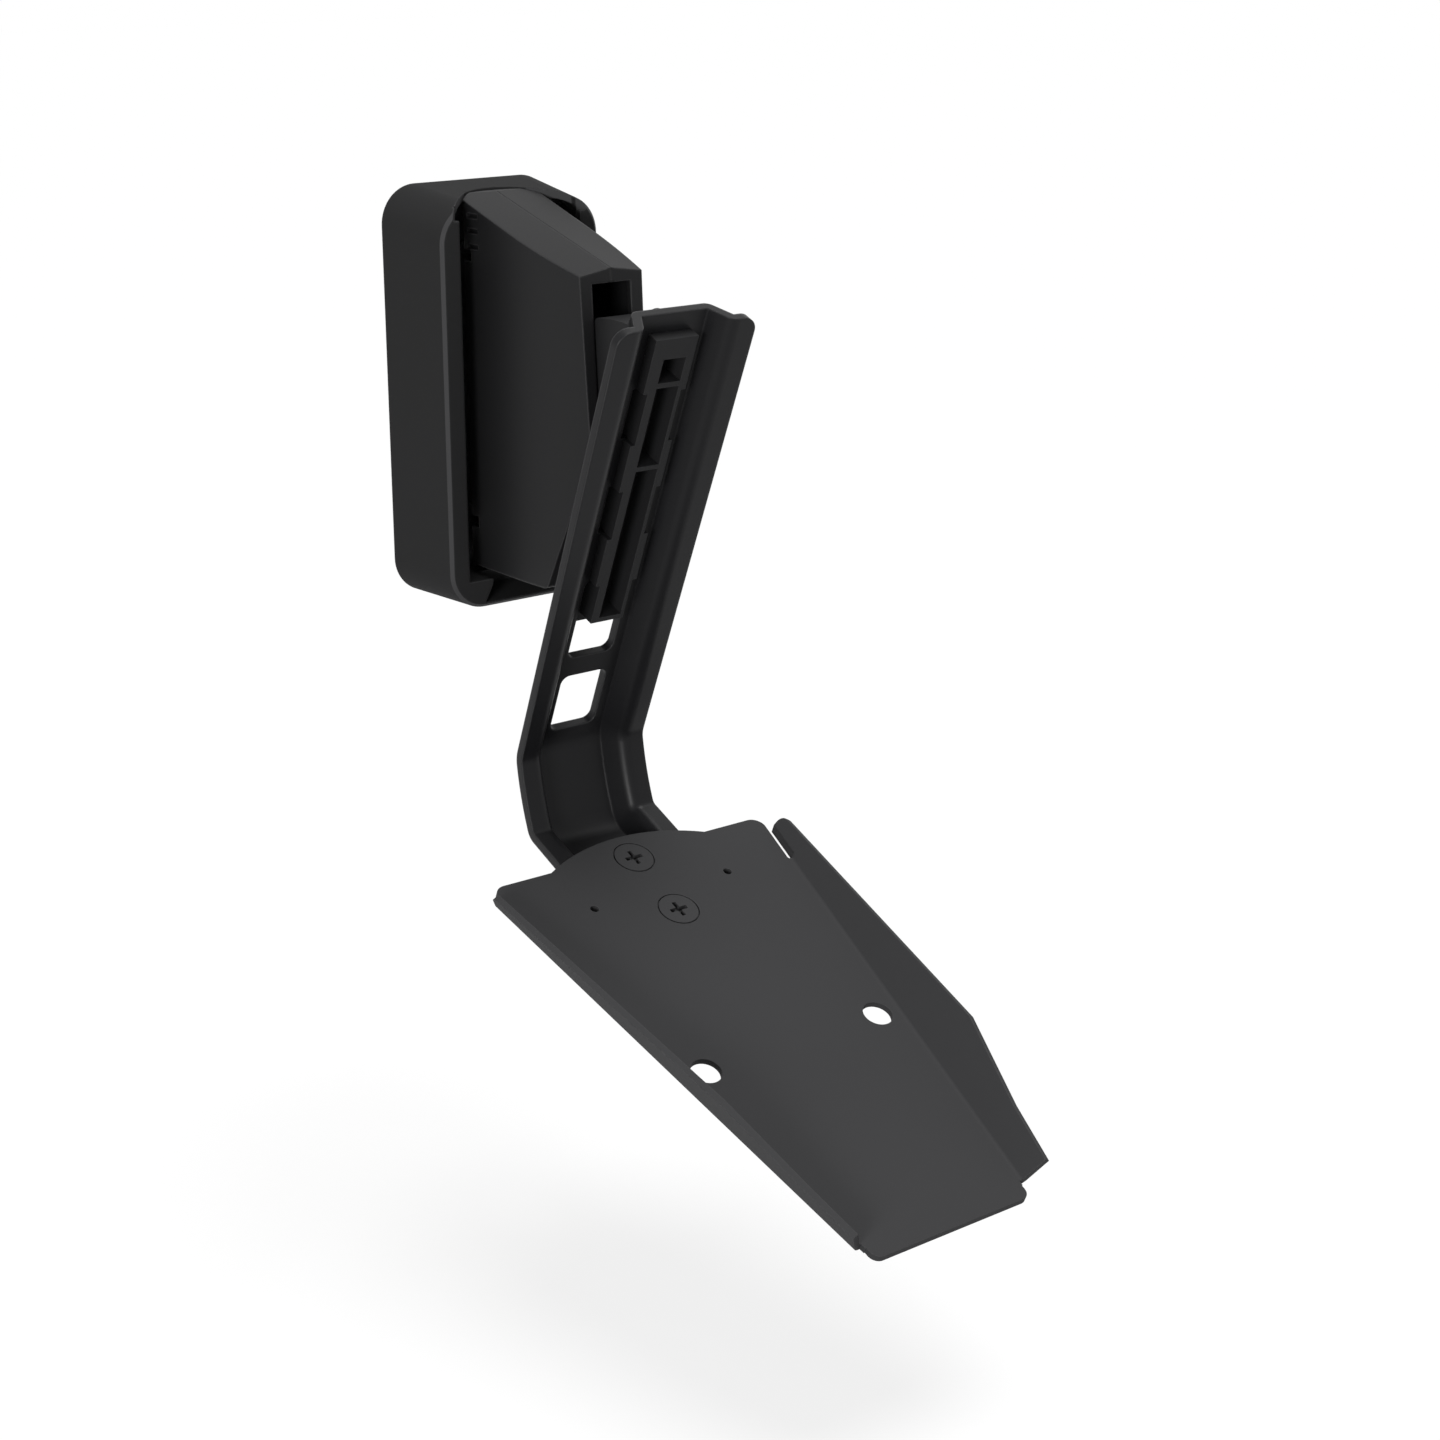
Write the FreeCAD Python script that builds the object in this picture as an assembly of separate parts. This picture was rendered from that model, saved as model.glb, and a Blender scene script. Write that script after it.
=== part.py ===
"""Speaker wall bracket: wall plate and cover, swivelling head, tilting arm and folded speaker plate.

Millimetres. The origin is the centre of the wall screw pattern on the wall plane. +Z is up and
the bracket stands out of the wall along -Y. The arm is at its front-down stop.
"""
import FreeCAD, Part
import math
import os

from FreeCAD import Placement, Rotation, Vector

# Wall cover
cover_height = 122.6
cover_depth = 28.1
cover_width_rear = 59.6
cover_width_front = 54.3
cover_top_fall = 3.6
cover_corner = 11.5
cover_wall = 2.2
cover_edge_bevel = 0.9
opening_half_width = 20.96
ledge_height = 8.3
scoop_half_width_top = 12.7
scoop_half_width_bottom = 16.2
scoop_depth = 9.6
scoop_lip_height = 1.2
scoop_slope = 19.0
scoop_corner = 3.0
scoop_corner_drop = 1.5
peg_radius = 1.6
peg_spacing = 26.0
catch_height = 5.5
catch_depth = 0.9
catch_levels = (-14.0, -35.0)

# Wall plate
sheet = 2.5
plate_half_width = 26.8
plate_corner = 9.5
plate_margin = 1.6
wall_hole_radius = 2.75
wall_hole_spacing_x = 37.0
wall_hole_spacing_z = 84.0
tab_length = 11.0
tab_half_width = 17.0
cover_screw_radius = 1.5
cover_screw_length = 9.0

# Swivel
pivot_y = -30.0
upper_ear_bottom = 41.0
lower_ear_top = -35.5
ear_half_width = 5.5
ear_round = 7.5
pin_radius = 4.0
pin_head_radius = 6.5
pin_head_height = 4.0
pin_thread_length = 8.6
thrust_washer = 1.0
bush_wall = 1.45
bush_length = 6.0
thrust_washer_radius = 7.5
swivel_nut_height = 6.5
swivel_nut_flats = 13.0
swivel_washer_radius = 8.0
swivel_washer_height = 1.2
swivel_half_range = 35.0

# Housing
housing_half_width = 13.5
housing_rear_radius = 17.7
housing_straight_end_y = -42.0
housing_front_half_width = 10.7
housing_front_y = -72.2
housing_top_rear = 59.2
housing_ridge_start_y = -15.6
housing_top_slope = 15.6
housing_roof_drop = 1.92
housing_roof_end_y = -82.0
housing_bottom = -50.2
housing_wall = 1.8
front_top_y = -72.0
front_top_z = 49.2
front_bulge_y = -75.6
front_bulge_z = -5.0
front_bulge_round = 20.0
front_waist_y = -66.3
front_waist_z = -29.8
front_waist_round = 60.0
front_foot_y = -56.75
front_foot_z = -49.6
slot_half_width = 6.6
slot_top = 39.3
slot_bottom = -40.0
boss_radius = 3.2
upper_boss = (-16.0, 4.2)
lower_boss = (-20.0, -3.0)
rear_boss = (11.5, 5.0)
housing_screw_radius = 1.5
housing_screw_head_radius = 2.75
housing_screw_head = 2.0
housing_screw_length = 16.0
vent_length = 5.5
vent_height = 1.3
vent_depth = 1.0
vent_rear_y = -20.5
vent_levels = (53.7, 49.4, 44.9)

# Swivel frame
frame_sheet = 2.0
frame_back_y = -40.0
frame_half_width = 9.0
cheek_round = 8.5
cheek_root_round = 3.0
cheek_root_top = 22.0
cheek_root_bottom = -26.0

# Tilt joint
tilt_y = -62.0
tilt_z = -2.3
arm_lean = 21.98
axle_radius = 3.0
axle_end = 0.6
axle_head_radius = 4.6
axle_clip_thickness = 0.48
tilt_washer = 0.5
tilt_washer_radius = 6.5
sleeve_wall = 1.2

# Tilt carrier, along and across the arm from the tilt axle
neck_half_width = 5.9
hub_radius = 10.0
neck_top_radius = 58.0
neck_top_front_e = 41.4
neck_top_rear_e = 34.2
neck_top_rear_n = -1.5
neck_bottom_e = -38.0
spine_half_width = 10.4
spine_thickness = 3.0
spine_top_e = 46.5
spine_bottom_e = -54.0
spine_corner = 2.5
ladder_top_e = 43.4
ladder_bottom_e = -50.5
ladder_proud = 3.7
ladder_core_half_width = 5.7
ladder_core_top_e = 38.5
tooth_half_width = 7.15
teeth = ((26.5, 43.4), (-5.2, 10.1), (-37.2, -21.2))
ladder_pockets = ((29.5, 37.0), (2.4, 27.9), (-49.0, 1.0))
pocket_left = -3.1
pocket_right = 4.6
pocket_floor = 1.2

# Arm
arm_wall = 2.8
arm_depth = 7.2
arm_front_n = 30.65
arm_top_e = 49.3
arm_kink_e = -92.8
arm_half_width_top = 23.5
arm_half_width_kink = 22.1
arm_web_half_width = 11.3
arm_flange_start = 15.2
arm_bend_front = 4.0
arm_bend_rear = 3.0
arm_tip_round = 4.5
arm_side_round = 568.0
kink_radius = 6.0
kink_angle = 8.0
heel_radius = 85.0
heel_angle = 21.0
toe_radius = 2.5
plate_fall = 23.26
foot_length = 54.0
window_half_width = 8.1
window_round = 2.8
lower_window = (-92.2, -72.0)
long_window_bottom_e = -65.4
lock_screw_e = 42.9
lock_screw_radius = 2.0
lock_screw_head_radius = 3.3
lock_screw_head = 2.2
lock_screw_reach = 2.2

# Speaker plate, along its fall from the rear screw
tray_sheet = 1.8
tray_screw_from_bend = 20.0
tray_screw_pitch = 23.76
tray_fold_half_width = 49.67
tray_taper = 0.14
tray_rear = -2.5
tray_front = 154.3
tray_tab_start = 150.2
tray_rear_corner = 4.0
tray_front_corner = 3.0
tray_front_half_width = 27.6
tongue_length = 6.8
tongue_half_width = 28.0
flange_lean = 60.0
flange_bend = 1.2
flange_start = 3.4
flange_rear_corner = 3.0
flange_heights = ((6.0, 6.0), (102.0, 15.9), (132.0, 10.8), (151.0, 9.0))
slit_end = 17.2
slit_width = 1.8
slit_height = 2.2
small_hole_radius = 1.3
small_hole_collar = 0.7
small_hole_collar_length = 2.0
small_hole_x = 24.2
small_hole_s = 15.1
large_hole_radius = 4.45
large_hole_x = 30.8
large_hole_s = 81.5
tray_screw_radius = 3.0
tray_screw_head_radius = 6.0
tray_screw_head_gap = 0.35
tray_screw_head_rim = 0.7
tray_screw_length = 10.0
tray_boss_radius = 7.0
cross_width = 1.3
cross_length = 5.8
cross_depth = 1.6

# Clearances
running = 0.05
loose = 0.3
notch_clearance = 0.6
notch_spare_angle = 12.5
slot_clearance = 0.4
slot_spare_angle = 4.5
cut_over = 1.0

X = Vector(1, 0, 0)
Y = Vector(0, 1, 0)
Z = Vector(0, 0, 1)


def rotation(across: Vector, along: Vector) -> Rotation:
    """Rotation that lays local x on `across` and local y on `along`."""
    return Rotation(across, along, across.cross(along), "XYZ")


def fall_vector(degrees: float) -> Vector:
    """Direction that leaves the wall along -Y and falls by `degrees`."""
    angle = math.radians(degrees)
    return Vector(0, -math.cos(angle), -math.sin(angle))


SIDE = Placement(Vector(), rotation(Y, Z))
FRONT = Placement(Vector(), rotation(X, Z))
TILT_AXIS = Vector(0, tilt_y, tilt_z)
ARM_UP = Vector(0, -math.sin(math.radians(arm_lean)), math.cos(math.radians(arm_lean)))
ARM = Placement(TILT_AXIS, rotation(X, ARM_UP))


def corner_arc(before: Vector, corner: Vector, after: Vector, radius: float) -> tuple:
    """Start, middle and end of the arc that rounds one corner of an outline."""
    back = (before - corner).normalize()
    forth = (after - corner).normalize()
    half = back.getAngle(forth) / 2
    reach = radius / math.tan(half)
    middle = (back + forth).normalize()
    centre = corner + middle * (radius / math.sin(half))
    return corner + back * reach, centre - middle * radius, corner + forth * reach


def outline_wire(corners: list) -> Part.Wire:
    """Closed wire through (a, b) corners, or (a, b, radius) where a corner is round."""
    points = [Vector(corner[0], corner[1], 0) for corner in corners]
    radii = [corner[2] if len(corner) > 2 else 0.0 for corner in corners]
    stations = []
    for index, point in enumerate(points):
        if radii[index] > 0:
            before = points[index - 1]
            after = points[(index + 1) % len(points)]
            stations.append(corner_arc(before, point, after, radii[index]))
        else:
            stations.append((point,))
    edges = []
    for index, station in enumerate(stations):
        following = stations[(index + 1) % len(stations)]
        if len(station) == 3:
            edges.append(Part.Arc(*station).toShape())
        if station[-1].distanceToPoint(following[0]) > 1e-6:
            edges.append(Part.LineSegment(station[-1], following[0]).toShape())
    return Part.Wire(edges)


def prism(corners: list, low: float, high: float, place: Placement = Placement()) -> Part.Shape:
    """Outline extruded from `low` to `high` along the local z of `place`."""
    face = Part.Face(outline_wire(corners))
    face.translate(Vector(0, 0, low))
    solid = face.extrude(Vector(0, 0, high - low))
    solid.Placement = place.multiply(solid.Placement)
    return solid


def rectangle(left: float, right: float, low: float, high: float, radius: float = 0.0) -> list:
    """Corners of a rectangle with equal corner radii."""
    return [(left, low, radius), (right, low, radius), (right, high, radius), (left, high, radius)]


def block(x_range: tuple, y_range: tuple, z_range: tuple) -> Part.Shape:
    """Box between three pairs of limits."""
    size = [high - low for low, high in (x_range, y_range, z_range)]
    return Part.makeBox(*size, Vector(x_range[0], y_range[0], z_range[0]))


def rod(radius: float, start: Vector, end: Vector) -> Part.Shape:
    """Cylinder between two points."""
    return Part.makeCylinder(radius, start.distanceToPoint(end), start, end - start)


def ring(outer: float, inner: float, start: Vector, end: Vector) -> Part.Shape:
    """Tube or washer between two points."""
    return rod(outer, start, end).cut(rod(inner, start, end))


def hexagon(flats: float, start: Vector, end: Vector) -> Part.Shape:
    """Hexagonal prism between two points."""
    across_corners = flats / math.cos(math.radians(30)) / 2
    angles = [math.radians(60 * k) for k in range(7)]
    points = [Vector(math.cos(angle), math.sin(angle), 0) * across_corners for angle in angles]
    face = Part.Face(Part.makePolygon(points))
    solid = face.extrude(Vector(0, 0, start.distanceToPoint(end)))
    solid.Placement = Placement(start, Rotation(Z, end - start))
    return solid


def countersunk_screw(
    radius: float, head_radius: float, length: float, top: Vector, down: Vector
) -> Part.Shape:
    """Countersunk screw with a cross recess; `top` is the centre of its flat head."""
    head_height = head_radius - radius
    head = Part.makeCone(head_radius, radius, head_height, top, down)
    shank = rod(radius, top + down * head_height, top + down * length)
    screw = head.fuse(shank).removeSplitter()
    return screw.cut(cross_recess(top, down, head_radius / tray_screw_head_radius))


def pan_screw(
    radius: float, head_radius: float, head: float, length: float, seat: Vector, down: Vector
) -> Part.Shape:
    """Cylinder-headed screw with a cross recess; `seat` is the centre of the head's underside."""
    top = seat - down * head
    screw = rod(head_radius, top, seat).fuse(rod(radius, seat, seat + down * length)).removeSplitter()
    return screw.cut(cross_recess(top, down, head_radius / tray_screw_head_radius))


def cross_recess(top: Vector, down: Vector, scale: float) -> Part.Shape:
    """Two crossed bars that cut a screw's drive recess."""
    half_length = cross_length * scale / 2
    half_width = cross_width * scale / 2
    depth = cross_depth * scale
    bars = [
        prism(rectangle(-half_length, half_length, -half_width, half_width), -cut_over, depth),
        prism(rectangle(-half_width, half_width, -half_length, half_length), -cut_over, depth),
    ]
    recess = bars[0].fuse(bars[1])
    recess.Placement = Placement(top, Rotation(Z, down))
    return recess


def at_pivot(z: float) -> Vector:
    """Point on the swivel axis."""
    return Vector(0, pivot_y, z)


def arm_point(x: float, e: float, n: float) -> Vector:
    """Point across, along and in front of the arm, from the tilt axis."""
    return ARM.multVec(Vector(x, e, n))


def cover_half_width(depth: float) -> float:
    """Half width of the tapered cover `depth` in front of the wall."""
    return (cover_width_rear + (cover_width_front - cover_width_rear) * depth / cover_depth) / 2


def cover_block(depth: float, inset: float) -> Part.Shape:
    """Tapered block of the cover from the wall to `depth`, set in by `inset`, its corners round."""
    front = cover_half_width(depth) - inset
    rear = cover_half_width(0) - inset
    bottom = inset - cover_height / 2
    top = cover_height / 2 - inset
    front_top = top - cover_top_fall * depth / cover_depth
    wedge = Part.makeWedge(-front, -depth, bottom, bottom, -rear, front, 0, front_top, top, rear)
    edges = [edge for edge in wedge.Edges if edge.BoundBox.YLength > depth / 2]
    return wedge.makeFillet(cover_corner - inset, edges)


def cover_outside() -> Part.Shape:
    """Tapered block of the cover with its bevelled front edge."""
    body = cover_block(cover_depth, 0)
    edges = [edge for edge in body.Edges if edge.BoundBox.YMax < -cover_depth / 2]
    return body.makeChamfer(cover_edge_bevel, edges)


def scoop_tool() -> Part.Shape:
    """Space of the finger scoop in the band under the opening."""
    bottom = -cover_height / 2 + scoop_lip_height
    top = -cover_height / 2 + ledge_height
    outline = [
        (-scoop_half_width_bottom, bottom - cut_over),
        (scoop_half_width_bottom, bottom - cut_over),
        (scoop_half_width_top, top - scoop_corner_drop, scoop_corner),
        (scoop_half_width_top, top + cut_over),
        (-scoop_half_width_top, top + cut_over),
        (-scoop_half_width_top, top - scoop_corner_drop, scoop_corner),
    ]
    front = prism(outline, cover_depth - scoop_depth, cover_depth + cut_over, FRONT)
    rise = math.tan(math.radians(scoop_slope))
    side = [
        (-cover_depth - cut_over, bottom - cut_over * rise),
        (-cover_depth + scoop_depth, bottom + scoop_depth * rise),
        (-cover_depth + scoop_depth, top + cut_over),
        (-cover_depth - cut_over, top + cut_over),
    ]
    return front.common(prism(side, -opening_half_width, opening_half_width, SIDE))


def notch_tool() -> Part.Shape:
    """Space in the cover's top wall that the swivelling housing turns in."""
    radius = housing_rear_radius + notch_clearance
    angle = math.radians(swivel_half_range + notch_spare_angle)
    side_x = radius * math.sin(angle)
    side_y = pivot_y + radius * math.cos(angle)
    run = (side_y + cover_depth + cut_over) / math.sin(angle)
    flare_x = side_x + run * math.cos(angle)
    front_y = -cover_depth - cut_over
    rear = Vector(0, pivot_y + radius, 0)
    edges = [
        Part.Arc(Vector(side_x, side_y, 0), rear, Vector(-side_x, side_y, 0)).toShape(),
        Part.makeLine(Vector(-side_x, side_y, 0), Vector(-flare_x, front_y, 0)),
        Part.makeLine(Vector(-flare_x, front_y, 0), Vector(flare_x, front_y, 0)),
        Part.makeLine(Vector(flare_x, front_y, 0), Vector(side_x, side_y, 0)),
    ]
    face = Part.Face(Part.Wire(edges))
    face.translate(Vector(0, 0, cover_height / 2 - cover_top_fall - 2 * cover_wall))
    return face.extrude(Vector(0, 0, cover_height / 2))


def wall_cover() -> Part.Shape:
    """Moulded cover with its opening, top notch, scoop, catch notches and pegs."""
    body = cover_outside()
    inner = cover_block(cover_depth - cover_wall, cover_wall)
    ledge = -cover_height / 2 + ledge_height
    scoop_block = block(
        (-scoop_half_width_bottom - cover_wall, scoop_half_width_bottom + cover_wall),
        (-cover_depth, -cover_depth + scoop_depth + cover_wall),
        (-cover_height, ledge - cover_wall / 2),
    )
    shelf_rear = -tab_length - cut_over
    shelf = block(
        (-opening_half_width, opening_half_width), (-cover_depth, shelf_rear), (ledge - cover_wall, ledge))
    inner = inner.cut(scoop_block.fuse(shelf))
    body = body.cut(inner)
    opening = block(
        (-opening_half_width, opening_half_width),
        (-cover_depth - cut_over, -cover_depth + cover_wall + cut_over),
        (ledge, cover_height / 2),
    )
    body = body.cut(opening).cut(notch_tool()).cut(scoop_tool())
    for level in catch_levels:
        reach = opening_half_width + catch_depth
        body = body.cut(block(
            (-reach, reach),
            (-cover_depth + cover_wall / 2, -cover_depth + cover_wall + cut_over),
            (level - catch_height / 2, level + catch_height / 2),
        ))
    peg_y = -tab_length / 2 - sheet / 2
    inner_top = cover_height / 2 - cover_wall
    for side in (-1, 1):
        top = Vector(side * peg_spacing / 2, peg_y, inner_top + cover_wall / 2)
        body = body.fuse(rod(peg_radius, top, top - Z * (cover_wall / 2 + plate_margin + sheet)))
    screw_top = Vector(0, peg_y, -cover_height)
    body = body.cut(rod(cover_screw_radius + loose, screw_top, Vector(0, peg_y, -inner_top + cut_over)))
    return body.removeSplitter()


def plate_top() -> float:
    """Height of the wall plate's tabs, just inside the cover's top and bottom walls."""
    return cover_height / 2 - cover_wall - plate_margin


def ear(bottom: float) -> Part.Shape:
    """One ear of the wall plate, reaching to the swivel axis."""
    neck = block((-ear_half_width, ear_half_width), (pivot_y, -sheet / 2), (bottom, bottom + sheet))
    eye = rod(ear_round, at_pivot(bottom), at_pivot(bottom + sheet))
    return neck.fuse(eye)


def wall_plate() -> Part.Shape:
    """Folded steel plate with two tabs, two welded ears and four wall screw holes."""
    top = plate_top()
    body = prism(rectangle(-plate_half_width, plate_half_width, -top, top, plate_corner), 0, sheet, FRONT)
    for bottom in (upper_ear_bottom, lower_ear_top - sheet):
        body = body.fuse(ear(bottom))
    for low in (top - sheet, -top):
        tab = prism(rectangle(-tab_half_width, tab_half_width, -tab_length, 0), low, low + sheet)
        body = body.fuse(tab)
    body = body.removeSplitter()
    for side in (-1, 1):
        for level in (-1, 1):
            centre = Vector(side * wall_hole_spacing_x / 2, cut_over, level * wall_hole_spacing_z / 2)
            body = body.cut(rod(wall_hole_radius, centre, centre - Y * (sheet + 2 * cut_over)))
        peg = Vector(side * peg_spacing / 2, -tab_length / 2 - sheet / 2, top - sheet - cut_over)
        body = body.cut(rod(peg_radius + loose / 2, peg, peg + Z * (sheet + 2 * cut_over)))
    body = body.cut(rod(pin_radius, at_pivot(-cover_height), at_pivot(cover_height)))
    screw = Vector(0, -tab_length / 2 - sheet / 2, -top - cut_over)
    return body.cut(rod(cover_screw_radius, screw, screw + Z * (sheet + 2 * cut_over)))


def cover_screw() -> Part.Shape:
    """Screw that holds the cover's bottom wall to the plate's lower tab."""
    seat = Vector(0, -tab_length / 2 - sheet / 2, -cover_height / 2)
    radius = cover_screw_radius
    return pan_screw(radius, 2 * radius, radius, cover_screw_length, seat, Z)


def swivel_pin() -> Part.Shape:
    """Headed pin through both ears, with its threaded end below."""
    ear_top = upper_ear_bottom + sheet
    head = rod(pin_head_radius, at_pivot(ear_top), at_pivot(ear_top + pin_head_height))
    shank = rod(pin_radius, at_pivot(lower_ear_top - sheet - pin_thread_length), at_pivot(ear_top))
    return head.fuse(shank).removeSplitter()


def swivel_nut() -> Part.Shape:
    """Lock nut under the lower ear."""
    top = lower_ear_top - sheet - swivel_washer_height
    nut = hexagon(swivel_nut_flats, at_pivot(top - swivel_nut_height), at_pivot(top))
    return nut.cut(rod(pin_radius, at_pivot(-cover_height), at_pivot(cover_height)))


def swivel_nut_washer() -> Part.Shape:
    """Plain washer between the lock nut and the lower ear."""
    top = lower_ear_top - sheet
    return ring(swivel_washer_radius, pin_radius, at_pivot(top - swivel_washer_height), at_pivot(top))


def lug_levels() -> list:
    """Outer face of each frame lug with the direction to its inner side."""
    return [(upper_ear_bottom - thrust_washer, -1), (lower_ear_top + thrust_washer, 1)]


def thrust_washers() -> list:
    """Friction washers between the ears and the frame's lugs."""
    washers = []
    for face, inward in lug_levels():
        end = face - inward * thrust_washer
        washers.append(ring(thrust_washer_radius, pin_radius + running, at_pivot(face), at_pivot(end)))
    return washers


def pivot_bush(index: int) -> Part.Shape:
    """Bush pressed into one lug of the frame."""
    face, inward = lug_levels()[index]
    end = face + inward * bush_length
    return ring(pin_radius + bush_wall, pin_radius + running, at_pivot(face), at_pivot(end))


def swivel_frame() -> Part.Shape:
    """Folded frame: lugs on the swivel pin behind, cheeks on the tilt axle in front."""
    levels = [face for face, inward in lug_levels()]
    back = block(
        (-frame_half_width, frame_half_width),
        (frame_back_y - frame_sheet, frame_back_y),
        (min(levels), max(levels)),
    )
    body = back
    for face, inward in lug_levels():
        low = min(face, face + inward * frame_sheet)
        neck = block(
            (-frame_half_width, frame_half_width),
            (frame_back_y - frame_sheet, pivot_y),
            (low, low + frame_sheet),
        )
        eye = rod(frame_half_width, at_pivot(low), at_pivot(low + frame_sheet))
        body = body.fuse(neck.fuse(eye))
    cheek = [
        (frame_back_y, cheek_root_bottom),
        (frame_back_y - 2 * frame_sheet, cheek_root_bottom, cheek_root_round),
        (tilt_y, tilt_z - cheek_round, cheek_round),
        (tilt_y - cheek_round, tilt_z - cheek_round, cheek_round),
        (tilt_y - cheek_round, tilt_z + cheek_round, cheek_round),
        (tilt_y, tilt_z + cheek_round, cheek_round),
        (frame_back_y - 2 * frame_sheet, cheek_root_top, cheek_root_round),
        (frame_back_y, cheek_root_top),
    ]
    for outer in (-frame_half_width, frame_half_width - frame_sheet):
        body = body.fuse(prism(cheek, outer, outer + frame_sheet, SIDE))
    body = body.removeSplitter()
    body = body.cut(rod(pin_radius + bush_wall, at_pivot(-cover_height), at_pivot(cover_height)))
    reach = X * housing_half_width
    return body.cut(rod(axle_radius, TILT_AXIS - reach, TILT_AXIS + reach))


def housing_plan(inset: float) -> Part.Wire:
    """Plan outline of the head: rear arc, flat sides and gently tapered front."""
    half_width = housing_half_width - inset
    rear_radius = housing_rear_radius - inset
    arc_y = pivot_y + math.sqrt(rear_radius ** 2 - half_width ** 2)
    narrowing = housing_half_width - housing_front_half_width
    run = housing_straight_end_y - housing_front_y
    taper_radius = (run ** 2 + narrowing ** 2) / (2 * narrowing)
    points = []
    for share in (0.5, 1.0):
        reach = (housing_straight_end_y - front_bulge_y + cut_over) * share
        drop = taper_radius - math.sqrt(taper_radius ** 2 - reach ** 2)
        points.append((half_width - drop, housing_straight_end_y - reach))
    rear = Vector(0, pivot_y + rear_radius, 0)
    edges = [Part.Arc(Vector(half_width, arc_y, 0), rear, Vector(-half_width, arc_y, 0)).toShape()]
    for side in (-1, 1):
        straight_end = Vector(side * half_width, housing_straight_end_y, 0)
        middle = Vector(side * points[0][0], points[0][1], 0)
        end = Vector(side * points[1][0], points[1][1], 0)
        edges.append(Part.makeLine(Vector(side * half_width, arc_y, 0), straight_end))
        edges.append(Part.Arc(straight_end, middle, end).toShape())
    edges.append(Part.makeLine(
        Vector(-points[1][0], points[1][1], 0), Vector(points[1][0], points[1][1], 0)))
    return Part.Wire(Part.sortEdges(edges)[0])


def housing_profile(inset: float) -> Part.Wire:
    """Side outline of the head: sloping top, bulged front and level bottom."""
    wire = outline_wire([
        (pivot_y + housing_rear_radius, housing_bottom),
        (front_foot_y, housing_bottom, 2),
        (front_waist_y, front_waist_z, front_waist_round),
        (front_bulge_y, front_bulge_z, front_bulge_round),
        (front_top_y, front_top_z),
        (pivot_y + housing_rear_radius, cover_height / 2),
    ])
    return wire.makeOffset2D(-inset) if inset > 0 else wire


def housing_roof(inset: float) -> Part.Shape:
    """Space under the head's roof, level across at the rear and ridged at the front."""
    slope = math.tan(math.radians(housing_top_slope))
    span = housing_half_width + cut_over
    wires = []
    for y, drop in ((0.0, 0.0), (housing_roof_end_y, housing_roof_drop)):
        ridge = housing_top_rear + slope * (y - housing_ridge_start_y) - inset
        edge = ridge - drop * housing_half_width / housing_front_half_width
        points = [(-span, -cover_height), (span, -cover_height), (span, edge), (0, ridge), (-span, edge)]
        wires.append(Part.makePolygon([Vector(x, y, z) for x, z in points + points[:1]]))
    roof = Part.makeLoft(wires, True, True)
    top = housing_top_rear - inset
    cap = block((-cover_height, cover_height), (housing_roof_end_y, cut_over), (top, cover_height))
    return roof.cut(cap)


def housing_form(inset: float) -> Part.Shape:
    """Solid form of the head, set in by `inset` all round."""
    plan = Part.Face(housing_plan(inset))
    plan.translate(Vector(0, 0, -cover_height))
    body = plan.extrude(Vector(0, 0, 2 * cover_height))
    side = Part.Face(housing_profile(inset))
    side.Placement = SIDE
    side.translate(X * -cover_height)
    body = body.common(side.extrude(X * (2 * cover_height)))
    return body.common(housing_roof(inset))


def boss_places() -> list:
    """Screw bosses of the head as points on its mid plane."""
    places = []
    for (run, rise), level in (
        (upper_boss, upper_ear_bottom), (lower_boss, lower_ear_top), (rear_boss, 0),
    ):
        places.append(Vector(0, pivot_y + run, level + rise))
    return places


def ear_slot(bottom: float) -> Part.Shape:
    """Slot in the head's rear wall that one ear of the wall plate passes through."""
    outer = housing_rear_radius + cut_over
    inner = housing_half_width - housing_wall - cut_over
    ear_angle = math.degrees(math.asin(ear_half_width / (housing_rear_radius - housing_wall)))
    angle = swivel_half_range + ear_angle + slot_spare_angle
    height = sheet + 2 * slot_clearance
    base = at_pivot(bottom - slot_clearance)
    sector = Part.makeCylinder(outer, height, base, Z, 2 * angle)
    sector.rotate(base, Z, 90 - angle)
    return sector.cut(rod(inner, at_pivot(-cover_height), at_pivot(cover_height)))


def housing_half(side: int) -> Part.Shape:
    """One half shell of the head; `side` is -1 for the left and 1 for the right."""
    shell = housing_form(0).cut(housing_form(housing_wall))
    slot_depth = (front_bulge_y - cut_over, front_foot_y)
    slot = block((-slot_half_width, slot_half_width), slot_depth, (slot_bottom, slot_top))
    shell = shell.cut(slot)
    for bottom in (upper_ear_bottom, lower_ear_top - sheet):
        shell = shell.cut(ear_slot(bottom))
    inside = housing_form(housing_wall / 2)
    for place in boss_places():
        boss = rod(boss_radius, place - X * housing_half_width, place + X * housing_half_width)
        shell = shell.fuse(boss.common(inside))
    span = cover_height
    half = block((0, side * span) if side > 0 else (-span, 0), (-span, span), (-span, span))
    shell = shell.common(half)
    for place in boss_places():
        if side > 0:
            seat = place + X * (housing_front_half_width - housing_wall)
            shell = shell.cut(rod(housing_screw_radius + loose / 2, place - X, seat + X))
            shell = shell.cut(rod(housing_screw_head_radius + loose, seat, seat + X * housing_half_width))
        else:
            shell = shell.cut(rod(housing_screw_radius, place + X, screw_tip(place) - X))
    return shell.removeSplitter()


def vented(shell: Part.Shape) -> Part.Shape:
    """The left half with its three short grooves near the rear top."""
    for level in vent_levels:
        shell = shell.cut(block(
            (-housing_half_width - cut_over, -housing_half_width + vent_depth),
            (vent_rear_y - vent_length, vent_rear_y),
            (level - vent_height / 2, level + vent_height / 2),
        ))
    return shell


def screw_tip(place: Vector) -> Vector:
    """End of a housing screw in the left half's boss."""
    return place + X * (housing_front_half_width - housing_wall - housing_screw_length)


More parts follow.
